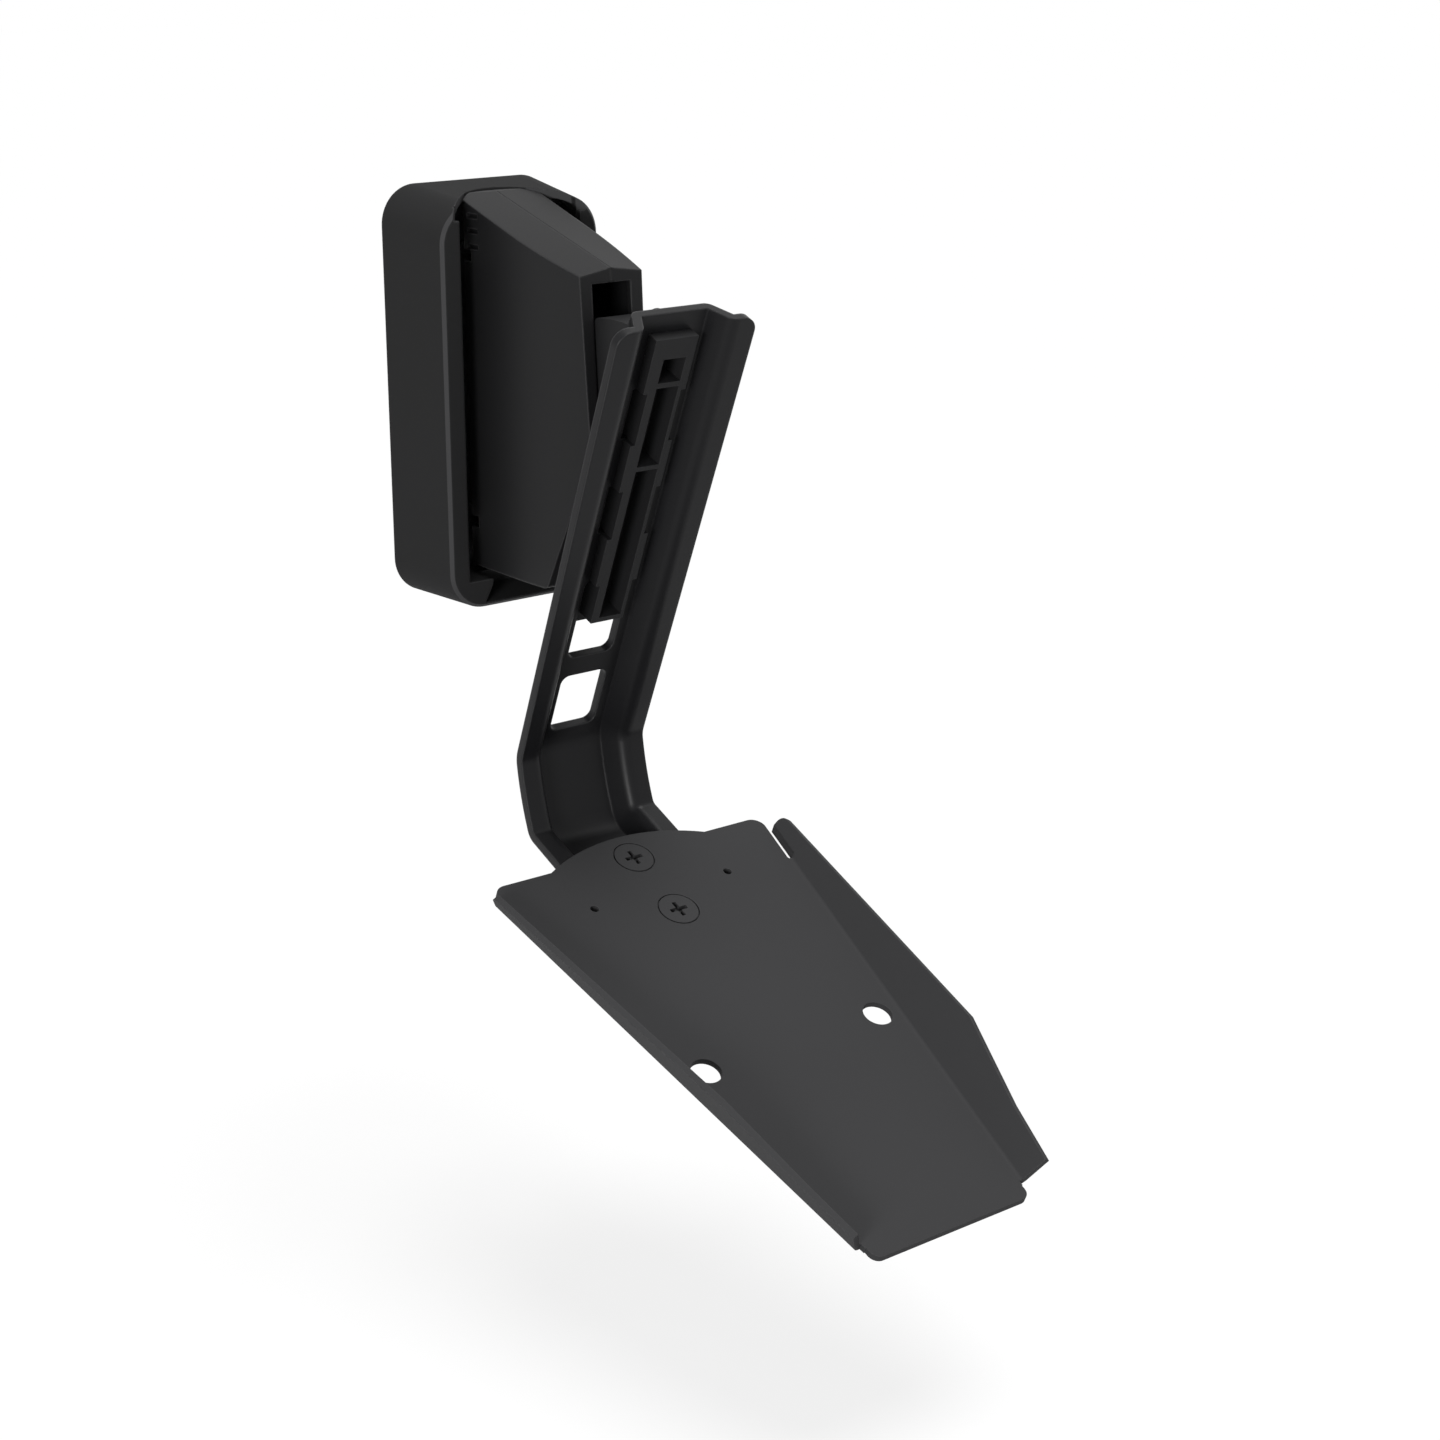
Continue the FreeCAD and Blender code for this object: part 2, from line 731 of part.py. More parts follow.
def housing_screws() -> list:
    """Three screws that pull the half shells together from the right."""
    screws = []
    for place in boss_places():
        seat = place + X * (housing_front_half_width - housing_wall)
        screws.append(pan_screw(
            housing_screw_radius, housing_screw_head_radius, housing_screw_head,
            housing_screw_length, seat, -X))
    return screws


def tilt_axle() -> Part.Shape:
    """Axle through the frame's cheeks, with a flat head on the left."""
    left = TILT_AXIS - X * (frame_half_width + axle_end)
    right = TILT_AXIS + X * (frame_half_width + axle_end)
    head = rod(axle_head_radius, left, TILT_AXIS - X * frame_half_width)
    return head.fuse(rod(axle_radius, left, right)).removeSplitter()


def axle_clip() -> Part.Shape:
    """Retaining ring on the axle's right end."""
    start = TILT_AXIS + X * frame_half_width
    return ring(axle_head_radius, axle_radius, start, start + X * axle_clip_thickness)


def tilt_washers() -> list:
    """Friction washers between the carrier's hub and the cheeks."""
    washers = []
    inner_face = frame_half_width - frame_sheet
    for side in (-1, 1):
        outer = TILT_AXIS + X * (side * inner_face)
        washers.append(ring(tilt_washer_radius, axle_radius, outer, outer - X * (side * tilt_washer)))
    return washers


def tilt_sleeve() -> Part.Shape:
    """Bearing sleeve in the carrier's hub."""
    reach = X * neck_half_width
    bore = axle_radius + running
    return ring(bore + sleeve_wall, bore, TILT_AXIS - reach, TILT_AXIS + reach)


def neck_outline() -> Part.Wire:
    """Side outline of the carrier's neck in (n, e), with its crowned top."""
    spine_rear = arm_front_n - arm_depth - arm_wall - spine_thickness
    start = Vector(spine_rear + cut_over, neck_top_front_e, 0)
    end = Vector(neck_top_rear_n, neck_top_rear_e, 0)
    chord = end - start
    rise = neck_top_radius - math.sqrt(neck_top_radius ** 2 - (chord.Length / 2) ** 2)
    middle = (start + end) * 0.5 + Vector(chord.y, -chord.x, 0).normalize() * rise
    foot = Vector(spine_rear + cut_over, neck_bottom_e, 0)
    corners = [end, Vector(-hub_radius, 0, 0), Vector(0, -hub_radius, 0), foot, start]
    edges = [Part.Arc(start, middle, end).toShape()]
    edges.append(Part.makeLine(corners[0], corners[1]))
    low = math.sqrt(0.5) * hub_radius
    edges.append(Part.Arc(corners[1], Vector(-low, -low, 0), corners[2]).toShape())
    edges.append(Part.makeLine(corners[2], corners[3]))
    edges.append(Part.makeLine(corners[3], corners[4]))
    return Part.Wire(edges)


def tilt_carrier() -> Part.Shape:
    """Moulded carrier: hub and neck in the head, spine behind the arm and ladder in front of it."""
    web_rear = arm_front_n - arm_depth - arm_wall
    web_front = arm_front_n - arm_depth
    ladder_front = web_front + ladder_proud
    neck = Part.Face(neck_outline())
    neck.Placement = Placement(Vector(), rotation(Z, Y))
    neck.translate(X * neck_half_width)
    body = neck.extrude(X * (-2 * neck_half_width))
    spine = prism(
        rectangle(-spine_half_width, spine_half_width, spine_bottom_e, spine_top_e, spine_corner),
        web_rear - spine_thickness, web_rear)
    core = prism(
        rectangle(-ladder_core_half_width, ladder_core_half_width, ladder_bottom_e, ladder_core_top_e),
        web_rear - spine_thickness, ladder_front)
    body = body.fuse(spine.fuse(core))
    for low, high in teeth:
        tooth = rectangle(-tooth_half_width, tooth_half_width, low, high)
        body = body.fuse(prism(tooth, web_front, ladder_front))
    body = body.removeSplitter()
    for low, high in ladder_pockets:
        body = body.cut(prism(
            rectangle(pocket_left, pocket_right, low, high), web_rear - spine_thickness + pocket_floor,
            ladder_front + cut_over))
    body.Placement = ARM
    reach = X * housing_half_width
    body = body.cut(rod(axle_radius + running + sleeve_wall, TILT_AXIS - reach, TILT_AXIS + reach))
    lock = arm_point(0, lock_screw_e, 0)
    forward = arm_point(0, lock_screw_e, 1) - lock
    body = body.cut(rod(lock_screw_radius, lock, lock + forward * (web_rear + cut_over)))
    return body.cut(rod(lock_screw_head_radius + loose, lock, lock + forward * (web_rear - spine_thickness)))


def lock_screw() -> Part.Shape:
    """Screw from behind that locks the arm on the carrier."""
    web_rear = arm_front_n - arm_depth - arm_wall
    seat = arm_point(0, lock_screw_e, web_rear - spine_thickness)
    forward = (arm_point(0, lock_screw_e, web_rear) - seat).normalize()
    length = spine_thickness + lock_screw_reach
    return pan_screw(lock_screw_radius, lock_screw_head_radius, lock_screw_head, length, seat, forward)


def arm_section() -> Part.Wire:
    """Hat section of the arm in (x, n), with n = 0 on the flange's front face."""
    wall = Vector(arm_flange_start - arm_web_half_width, arm_depth, 0).normalize()
    shift = arm_wall * (1 - wall.x) / wall.y
    half = arm_half_width_top + cut_over
    right = [
        (half, 0), (half, -arm_wall),
        (arm_flange_start + shift, -arm_wall),
        (arm_web_half_width + shift, -arm_depth - arm_wall, arm_bend_rear),
    ]
    front = [(arm_web_half_width, -arm_depth), (arm_flange_start, 0, arm_bend_front)]
    left = [(-corner[0],) + tuple(corner[1:]) for corner in reversed(right)]
    front_left = [(-corner[0],) + tuple(corner[1:]) for corner in front]
    return outline_wire(right + left + list(reversed(front_left)) + front)


def arm_path() -> tuple:
    """Line of the flange's front face from top to foot end, and the point where the foot starts."""
    point = arm_point(0, arm_top_e, arm_front_n)
    kink = arm_point(0, arm_kink_e, arm_front_n)
    edges = [Part.makeLine(point, kink)]
    point = kink
    angle = -arm_lean
    for radius, end_angle in (
        (kink_radius, kink_angle), (heel_radius, heel_angle), (toe_radius, 90 - plate_fall),
    ):
        stations = []
        for turn in ((angle + end_angle) / 2, end_angle):
            start, end = math.radians(angle), math.radians(turn)
            stations.append(point + Vector(
                0, math.cos(end) - math.cos(start), math.sin(start) - math.sin(end)) * radius)
        edges.append(Part.Arc(point, stations[0], stations[1]).toShape())
        point = stations[1]
        angle = end_angle
    edges.append(Part.makeLine(point, point + fall_vector(plate_fall) * foot_length))
    return Part.Wire(edges), point


def tray_place() -> Placement:
    """Placement of the speaker plate: local x across, y down its fall and z into the sheet."""
    wire, foot = arm_path()
    along = fall_vector(plate_fall)
    place = Placement(foot + along * tray_screw_from_bend, rotation(X, along))
    place.Base = place.multVec(Vector(0, 0, -tray_sheet))
    return place


def tray_screw_places() -> list:
    """Heads of the two plate screws in plate coordinates."""
    return [Vector(0, 0, 0), Vector(0, tray_screw_pitch, 0)]


def arm() -> Part.Shape:
    """Cast arm of hat section with its windows, screw bosses and foot."""
    path, foot = arm_path()
    section = arm_section()
    section.Placement = Placement(arm_point(0, arm_top_e, arm_front_n), rotation(X, ARM_UP.cross(X) * -1))
    body = path.makePipeShell([section], True, False)
    front_view = [
        (-arm_half_width_top, arm_top_e, arm_tip_round), (-arm_half_width_kink, arm_kink_e, arm_side_round),
        (-arm_half_width_kink, -2 * cover_height), (arm_half_width_kink, -2 * cover_height),
        (arm_half_width_kink, arm_kink_e, arm_side_round), (arm_half_width_top, arm_top_e, arm_tip_round),
    ]
    body = body.common(prism(front_view, -2 * cover_height, 2 * cover_height, ARM))
    web_span = (arm_front_n - arm_depth - arm_wall - cut_over, arm_front_n + cut_over)
    wide = window_half_width
    body = body.cut(prism(rectangle(-wide, wide, *lower_window, window_round), *web_span, ARM))
    narrow = ladder_core_half_width + loose
    ladder_end = ladder_core_top_e + loose
    body = body.cut(prism(rectangle(-narrow, narrow, long_window_bottom_e, ladder_end), *web_span, ARM))
    notches = [(long_window_bottom_e, teeth[2][0] - loose, window_round)]
    notches += [(teeth[k + 1][1] + loose, teeth[k][0] - loose, 0.0) for k in (0, 1)]
    for low, high, radius in notches:
        body = body.cut(prism(rectangle(-wide, wide, low, high, radius), *web_span, ARM))
    place = tray_place()
    down = place.multVec(Z) - place.Base
    for head in tray_screw_places():
        top = place.multVec(head)
        seat = top + down * tray_sheet
        body = body.fuse(rod(tray_boss_radius, seat, seat + down * (arm_depth + arm_wall)))
    body = body.removeSplitter()
    for head in tray_screw_places():
        top = place.multVec(head)
        body = body.cut(screw_hole(top, down))
    lock = arm_point(0, lock_screw_e, 0)
    forward = arm_point(0, lock_screw_e, 1) - lock
    depth = arm_front_n - arm_depth - arm_wall + lock_screw_reach
    return body.cut(rod(lock_screw_radius, lock, lock + forward * depth))


def screw_hole(top: Vector, down: Vector) -> Part.Shape:
    """Countersunk and threaded hole for one plate screw, with a narrow gap round the head."""
    rim = tray_screw_head_rim
    seat = top + down * rim
    height = tray_screw_head_radius - tray_screw_radius - rim
    cone = Part.makeCone(tray_screw_head_radius - rim, tray_screw_radius, height, seat, down)
    mouth = rod(tray_screw_head_radius + tray_screw_head_gap, top, seat)
    return cone.fuse(mouth).fuse(rod(tray_screw_radius, top, top + down * (tray_screw_length + arm_depth)))


def tray_half_width(s: float) -> float:
    """Half width of the speaker plate at its fold, `s` along its fall."""
    return tray_fold_half_width - tray_taper * s


def tray_flange(side: int) -> Part.Shape:
    """Raised side of the speaker plate with its bend, cut to its outline."""
    taper = math.atan(tray_taper)
    along = Vector(-side * math.sin(taper), math.cos(taper), 0)
    across = Vector(side * math.cos(taper), math.sin(taper), 0)
    base = Vector(side * tray_half_width(0), 0, 0)
    lean = math.radians(flange_lean)
    outer = flange_bend + tray_sheet
    height = max(top for run, top in flange_heights) + cut_over

    def at(radius: float, angle: float) -> Vector:
        """Point on the bend in (across, up), with the bend's centre above the sheet."""
        return across * (radius * math.sin(angle)) - Z * (flange_bend - radius * math.cos(angle))

    rise = across * (math.cos(lean) * height) - Z * (math.sin(lean) * height)
    section = [
        Part.Arc(at(flange_bend, 0), at(flange_bend, lean / 2), at(flange_bend, lean)).toShape(),
        Part.makeLine(at(flange_bend, lean), at(flange_bend, lean) + rise),
        Part.makeLine(at(flange_bend, lean) + rise, at(outer, lean) + rise),
        Part.makeLine(at(outer, lean) + rise, at(outer, lean)),
        Part.Arc(at(outer, lean), at(outer, lean / 2), at(outer, 0)).toShape(),
        Part.makeLine(at(outer, 0), at(outer, 0) - across * cut_over),
        Part.makeLine(at(outer, 0) - across * cut_over, at(flange_bend, 0) - across * cut_over),
        Part.makeLine(at(flange_bend, 0) - across * cut_over, at(flange_bend, 0)),
    ]
    face = Part.Face(Part.Wire(section))
    face.translate(base - across * (flange_bend * math.tan(lean / 2)))
    sheet_run = face.extrude(along * tray_front)
    first_run, first_height = flange_heights[0]
    last_run, last_height = flange_heights[-1]
    up = across * math.cos(lean) - Z * math.sin(lean)
    corners = [(flange_start, -height), (flange_start, first_height, flange_rear_corner)]
    corners += list(flange_heights[1:-1])
    corners += [(last_run, last_height), (tray_tab_start, 0), (tray_tab_start, -height)]
    outline = Part.Face(outline_wire(corners))
    outline.Placement = Placement(base, rotation(along, up))
    normal = along.cross(up)
    outline.translate(normal * -height)
    return sheet_run.common(outline.extrude(normal * (2 * height)))


def tray_blank() -> Part.Shape:
    """Flat part of the speaker plate with its tongue, corners and front tab."""
    taper = tray_taper
    rear = tray_rear
    corner_x = tray_half_width(rear) - slit_width / 2
    inner_bend = flange_bend * math.tan(math.radians(flange_lean / 2))
    side_x = inner_bend * math.sqrt(1 + taper ** 2)
    flat = [
        (-corner_x, rear, tray_rear_corner), (corner_x, rear, tray_rear_corner),
        (tray_half_width(slit_end) - side_x, slit_end),
        (tray_half_width(tray_tab_start) - side_x, tray_tab_start),
        (tray_front_half_width, tray_tab_start), (tray_front_half_width, tray_front, tray_front_corner),
        (-tray_front_half_width, tray_front, tray_front_corner), (-tray_front_half_width, tray_tab_start),
        (side_x - tray_half_width(tray_tab_start), tray_tab_start),
        (side_x - tray_half_width(slit_end), slit_end),
    ]
    body = prism(flat, 0, tray_sheet)
    left = Vector(-tongue_half_width, rear, 0)
    right = Vector(tongue_half_width, rear, 0)
    overlap = Vector(0, cut_over, 0)
    tongue = Part.Face(Part.Wire([
        Part.Arc(left, Vector(0, rear - tongue_length, 0), right).toShape(),
        Part.makeLine(right, right + overlap),
        Part.makeLine(right + overlap, left + overlap),
        Part.makeLine(left + overlap, left),
    ]))
    return body.fuse(tongue.extrude(Z * tray_sheet))


def slit(side: int) -> Part.Shape:
    """Relief slit along the rear of one fold."""
    taper = math.degrees(math.atan(tray_taper))
    outline = rectangle(-slit_width / 2, slit_width / 2, -slit_end, slit_end, slit_width / 2)
    tool = prism(outline, -slit_height, tray_sheet + cut_over)
    tool.rotate(Vector(), Z, side * taper)
    tool.translate(Vector(side * tray_half_width(0), 0, 0))
    return tool


def speaker_plate() -> Part.Shape:
    """Folded sheet that carries the speaker."""
    body = tray_blank()
    for side in (-1, 1):
        body = body.fuse(tray_flange(side))
    for side in (-1, 1):
        body = body.cut(slit(side))
        collar = Vector(side * small_hole_x, small_hole_s, 0)
        collar_end = collar + Z * (tray_sheet + small_hole_collar_length)
        body = body.fuse(rod(small_hole_radius + small_hole_collar, collar, collar_end))
        for radius, x, s in (
            (small_hole_radius, small_hole_x, small_hole_s), (large_hole_radius, large_hole_x, large_hole_s),
        ):
            body = body.cut(rod(radius, Vector(side * x, s, -cut_over), Vector(side * x, s, 3 * tray_sheet)))
    for head in tray_screw_places():
        body = body.cut(screw_hole(head, Z))
    body = body.removeSplitter()
    body.Placement = tray_place()
    return body


def tray_screws() -> list:
    """Two countersunk screws that hold the plate on the arm's foot."""
    place = tray_place()
    down = place.multVec(Z) - place.Base
    tops = [place.multVec(head) for head in tray_screw_places()]
    return [
        countersunk_screw(tray_screw_radius, tray_screw_head_radius, tray_screw_length, top, down)
        for top in tops
    ]


def save(name: str, shapes: list) -> None:
    """Writes one node's solids to its STEP file."""
    solids = [solid for shape in shapes for solid in shape.Solids]
    shape = solids[0] if len(solids) == 1 else Part.makeCompound(solids)
    print(name, len(solids), round(shape.Volume), shape.isValid())
    shape.exportStep("parts/" + name + ".step")


def main() -> None:
    """Builds and writes every node."""
    os.makedirs("parts", exist_ok=True)
    save("wall_cover", [wall_cover()])
    save("wall_plate", [wall_plate()])
    save("cover_screw", [cover_screw()])
    save("swivel_pin", [swivel_pin()])
    save("swivel_nut", [swivel_nut()])
    save("swivel_nut_washer", [swivel_nut_washer()])
    save("thrust_washers", thrust_washers())
    save("upper_pivot_bush", [pivot_bush(0)])
    save("lower_pivot_bush", [pivot_bush(1)])
    save("swivel_frame", [swivel_frame()])
    save("housing_left", [vented(housing_half(-1))])
    save("housing_right", [housing_half(1)])
    save("housing_screws", housing_screws())
    save("tilt_axle", [tilt_axle()])
    save("axle_clip", [axle_clip()])
    save("tilt_washers", tilt_washers())
    save("tilt_sleeve", [tilt_sleeve()])
    save("tilt_carrier", [tilt_carrier()])
    save("arm_lock_screw", [lock_screw()])
    save("arm", [arm()])
    save("speaker_plate", [speaker_plate()])
    save("plate_screws", tray_screws())


main()
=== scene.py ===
"""Dresses the speaker wall bracket: its finishes, a pale floor, soft light and the camera."""
import logging
import math
from dataclasses import dataclass, field
from enum import Enum

import bmesh
import bpy
from mathutils import Matrix, Vector


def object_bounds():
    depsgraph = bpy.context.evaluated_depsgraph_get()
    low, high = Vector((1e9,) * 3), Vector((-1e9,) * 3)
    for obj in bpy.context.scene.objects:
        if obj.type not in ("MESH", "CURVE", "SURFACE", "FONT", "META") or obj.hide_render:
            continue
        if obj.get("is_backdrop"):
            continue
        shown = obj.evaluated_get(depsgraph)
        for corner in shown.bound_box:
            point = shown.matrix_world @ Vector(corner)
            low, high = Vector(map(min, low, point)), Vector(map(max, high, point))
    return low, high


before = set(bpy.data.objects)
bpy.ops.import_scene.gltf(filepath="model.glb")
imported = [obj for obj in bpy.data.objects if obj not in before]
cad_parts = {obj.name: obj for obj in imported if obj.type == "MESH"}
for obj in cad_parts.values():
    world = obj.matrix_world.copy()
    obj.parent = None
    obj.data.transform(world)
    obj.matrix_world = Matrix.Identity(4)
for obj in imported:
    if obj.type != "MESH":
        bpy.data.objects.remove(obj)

logging.basicConfig(level=logging.INFO, format="%(message)s")
log = logging.getLogger("bracket")

MM = 0.001
WHITE = "ffffff"

# The Mix node has sockets of one name for each kind of data, so its colour sockets go by place.
MIX_COLOUR_IN = 6
MIX_COLOUR_OUT = 2

Place = tuple[float, float, float]


def linear(hex_colour: str) -> tuple[float, float, float, float]:
    """Turns an sRGB hex colour into linear RGBA.

    Args:
        hex_colour: six hex digits, such as "3a3a3b".

    Returns:
        Linear red, green and blue with an alpha of 1.
    """
    channels = [int(hex_colour[index:index + 2], 16) / 255 for index in (0, 2, 4)]
    values = [c / 12.92 if c <= 0.04045 else ((c + 0.055) / 1.055) ** 2.4 for c in channels]
    return (*values, 1.0)


def add_node(
        tree: bpy.types.NodeTree, kind: str, settings: dict | None = None,
        links: dict | None = None) -> bpy.types.Node:
    """Adds one shader node.

    Args:
        tree: node tree that gets the node.
        kind: Blender's node type name.
        settings: attributes by name, or input values by the input's name or place.
        links: output sockets by the name or place of the input that they feed.

    Returns:
        The new node.
    """
    node = tree.nodes.new(kind)
    for name, value in (settings or {}).items():
        if isinstance(name, int) or name in node.inputs:
            node.inputs[name].default_value = value
        else:
            setattr(node, name, value)
    for name, socket in (links or {}).items():
        tree.links.new(socket, node.inputs[name])
    return node


def cleared_tree(owner: bpy.types.Material | bpy.types.World) -> bpy.types.NodeTree:
    """Turns on the nodes of a new material or world and empties them.

    Args:
        owner: the material or world.

    Returns:
        Its empty node tree.
    """
    owner.use_nodes = True
    owner.node_tree.nodes.clear()
    return owner.node_tree


def facing(place: Place, ahead: Vector) -> Matrix:
    """Works out how a lamp or camera stands.

    Args:
        place: its position, in metres.
        ahead: the direction that it faces.

    Returns:
        Its matrix, with its own upper side kept up.
    """
    return Matrix.Translation(Vector(place)) @ ahead.to_track_quat("-Z", "Y").to_matrix().to_4x4()


class Slot(Enum):
    """Material slots of the record that this file dresses."""

    COVER = "cover_plastic"
    HEAD = "head_plastic"
    CARRIER = "carrier_plastic"
    ARM = "arm_paint"
    TRAY = "tray_paint"
    PLATE_SCREW = "screw_paint"
    SHEET_STEEL = "plate_steel"
    ZINC = "bright_steel"
    OXIDE = "black_steel"
    NYLON = "nylon"


@dataclass(frozen=True)
class Finish:
    """One finish: its colour, its gloss, the relief that its making leaves and the painted highlight on its
    outer edges.

    Patterns are noise in Object coordinates. `grain_mm` is the spacing of the relief's bumps and
    `cloud_mm` that of the broad, faint change between the two colours.
    """

    name: str
    colour: str
    colour_variation: str
    roughness: float
    grain_mm: float
    grain_height_mm: float
    edge_round_mm: float = 0.5
    # Colour of the painted highlight along outer edges; empty for none.
    edge_highlight_colour: str = ""
    # Half the width of the strip along the parting line, in the plane x = 0, that gets no painted edge
    # highlight.
    seam_half_mm: float = 0.0
    metallic: float = 0.0
    ior: float = 1.5
    specular: float = 0.5
    cloud_mm: float = 45.45
    grain_detail: float = 3.0
    grain_falloff: float = 0.6
    cloud_detail: float = 2.0
    gloss_spread: float = 0.05
    relief_strength: float = 0.35
    # Cosine between face and rounded edge: full painted highlight below the first, none above the second.
    highlight_turn: tuple[float, float] = (0.76, 0.94)
    # Share of open air round a point: a corner's inside lies below the first, an outer edge above.
    open_share: tuple[float, float] = (0.8, 0.97)
    open_reach_mm: float = 2.0
    edge_samples: int = 6

    def material(self) -> bpy.types.Material:
        """Builds the node material of this finish.

        Returns:
            The material, named for the finish.
        """
        material = bpy.data.materials.new(self.name)
        tree = cleared_tree(material)
        place = add_node(tree, "ShaderNodeTexCoord").outputs["Object"]
        grain = add_node(
            tree, "ShaderNodeTexNoise",
            {"Scale": 1 / (self.grain_mm * MM), "Detail": self.grain_detail, "Roughness": self.grain_falloff},
            {"Vector": place})
        cloud = add_node(
            tree, "ShaderNodeTexNoise",
            {"Scale": 1 / (self.cloud_mm * MM), "Detail": self.cloud_detail}, {"Vector": place})
        colour = add_node(
            tree, "ShaderNodeMix",
            {"data_type": "RGBA", "A": linear(self.colour), "B": linear(self.colour_variation)},
            {"Factor": cloud.outputs["Fac"]})
        gloss = add_node(
            tree, "ShaderNodeMapRange",
            {"To Min": self.roughness - self.gloss_spread, "To Max": self.roughness + self.gloss_spread},
            {"Value": grain.outputs["Fac"]})
        edge = add_node(
            tree, "ShaderNodeBevel", {"Radius": self.edge_round_mm * MM, "samples": self.edge_samples})
        paint = colour.outputs[MIX_COLOUR_OUT]
        # Outer edges get a painted highlight in a paler colour.
        if self.edge_highlight_colour:
            paint = self.painted_edge_highlight(tree, paint, edge.outputs["Normal"])
        relief = add_node(
            tree, "ShaderNodeBump",
            {"Strength": self.relief_strength, "Distance": self.grain_height_mm * MM},
            {"Height": grain.outputs["Fac"], "Normal": edge.outputs["Normal"]})
        surface = add_node(
            tree, "ShaderNodeBsdfPrincipled",
            {"Metallic": self.metallic, "IOR": self.ior, "Specular IOR Level": self.specular},
            {"Base Color": paint, "Roughness": gloss.outputs["Result"],
             "Normal": relief.outputs["Normal"]})
        add_node(tree, "ShaderNodeOutputMaterial", None, {"Surface": surface.outputs["BSDF"]})
        return material

    def painted_edge_highlight(
            self, tree: bpy.types.NodeTree, paint: bpy.types.NodeSocket,
            rounded: bpy.types.NodeSocket) -> bpy.types.NodeSocket:
        """Paints a highlight on outer edges: a paler colour where the rounded edge turns from the face.

        Args:
            tree: node tree of the material.
            paint: colour of the faces.
            rounded: normal of the rounded edge.

        Returns:
            Colour with a painted highlight on its outer edges.
        """
        face = add_node(tree, "ShaderNodeNewGeometry")
        turn = add_node(
            tree, "ShaderNodeVectorMath", {"operation": "DOT_PRODUCT"},
            {0: face.outputs["Normal"], 1: rounded})
        near_edge = add_node(
            tree, "ShaderNodeMapRange",
            {"From Min": self.highlight_turn[0], "From Max": self.highlight_turn[1], "To Min": 1.0, "To Max": 0.0},
            {"Value": turn.outputs["Value"]})
        open_air = add_node(
            tree, "ShaderNodeAmbientOcclusion",
            {"samples": self.edge_samples, "Distance": self.open_reach_mm * MM})
        outer = add_node(
            tree, "ShaderNodeMapRange", {"From Min": self.open_share[0], "From Max": self.open_share[1]},
            {"Value": open_air.outputs["AO"]})
        amount = add_node(
            tree, "ShaderNodeMath", {"operation": "MULTIPLY"},
            {0: near_edge.outputs["Result"], 1: outer.outputs["Result"]}).outputs["Value"]
        if self.seam_half_mm:
            amount = self.beside_seam(tree, amount)
        mixed = add_node(
            tree, "ShaderNodeMix", {"data_type": "RGBA", "B": linear(self.edge_highlight_colour)},
            {"Factor": amount, MIX_COLOUR_IN: paint})
        return mixed.outputs[MIX_COLOUR_OUT]

    def beside_seam(
            self, tree: bpy.types.NodeTree, amount: bpy.types.NodeSocket) -> bpy.types.NodeSocket:
        """Keeps the painted edge highlight off the parting line.

        Args:
            tree: node tree of the material.
            amount: strength of the painted edge highlight.

        Returns:
            That amount away from the parting line, and 0 along it.
        """
        place = add_node(tree, "ShaderNodeTexCoord")
        parts = add_node(tree, "ShaderNodeSeparateXYZ", None, {"Vector": place.outputs["Object"]})
        offset = add_node(
            tree, "ShaderNodeMath", {"operation": "ABSOLUTE"}, {0: parts.outputs["X"]})
        beside = add_node(
            tree, "ShaderNodeMath", {"operation": "GREATER_THAN", 1: self.seam_half_mm * MM},
            {0: offset.outputs["Value"]})
        kept = add_node(
            tree, "ShaderNodeMath", {"operation": "MULTIPLY"}, {0: amount, 1: beside.outputs["Value"]})
        return kept.outputs["Value"]


# Injection-moulded ABS with a spark-eroded grain: an even, dry charcoal with hardly any highlight,
# and a thin painted highlight line along its outer edges. The real grain, about 0.1 mm, is too fine
# to show and is drawn coarser on all the moulded pieces.
MOULDED_COVER = Finish(
    "moulded_abs_cover", "2c2c2c", "2e2e2f", roughness=0.68, grain_mm=0.45, grain_height_mm=0.02,
    edge_round_mm=1.1, edge_highlight_colour="4c4c4d", specular=0.03)
# The same ABS on the chamfer round the cover's front, paler and a little glossier: a painted
# highlight, a light line that frames the opening.
RIM_HIGHLIGHT = Finish(
    "moulded_abs_rim_highlight", "3c3c3d", "404041", roughness=0.55, grain_mm=0.45, grain_height_mm=0.02,
    edge_round_mm=0.3, specular=0.1)
# Injection-moulded ABS from a finer mould: a darker charcoal with a soft sheen on the sloping top.
# Its outer edges get a painted highlight line, kept off the parting line.
MOULDED_HEAD = Finish(
    "moulded_abs_head", "171718", "1a1a1b", roughness=0.54, grain_mm=0.45, grain_height_mm=0.02,
    edge_round_mm=1.0, edge_highlight_colour="424243", seam_half_mm=1.2, specular=0.17)
# Moulded nylon filled with glass: the fibres at its skin make it a little greyer and drier than
# the ABS of the head, so the ladder stands out from the arm. Its outer edges get a painted highlight line.
FILLED_NYLON = Finish(
    "glass_filled_nylon", "1e1e1f", "212122", roughness=0.60, grain_mm=0.5, grain_height_mm=0.02,
    edge_round_mm=0.35, edge_highlight_colour="3a3a3b", specular=0.15)
# Polyester powder coat on a cast arm: the orange peel breaks up satin highlights along the bends.
# Its outer edges get a painted highlight line.
POWDER_ARM = Finish(
    "powder_coated_arm", "18181a", "1b1b1c", roughness=0.37, grain_mm=1.1, grain_height_mm=0.02,
    edge_round_mm=0.9, edge_highlight_colour="404041", specular=0.14)
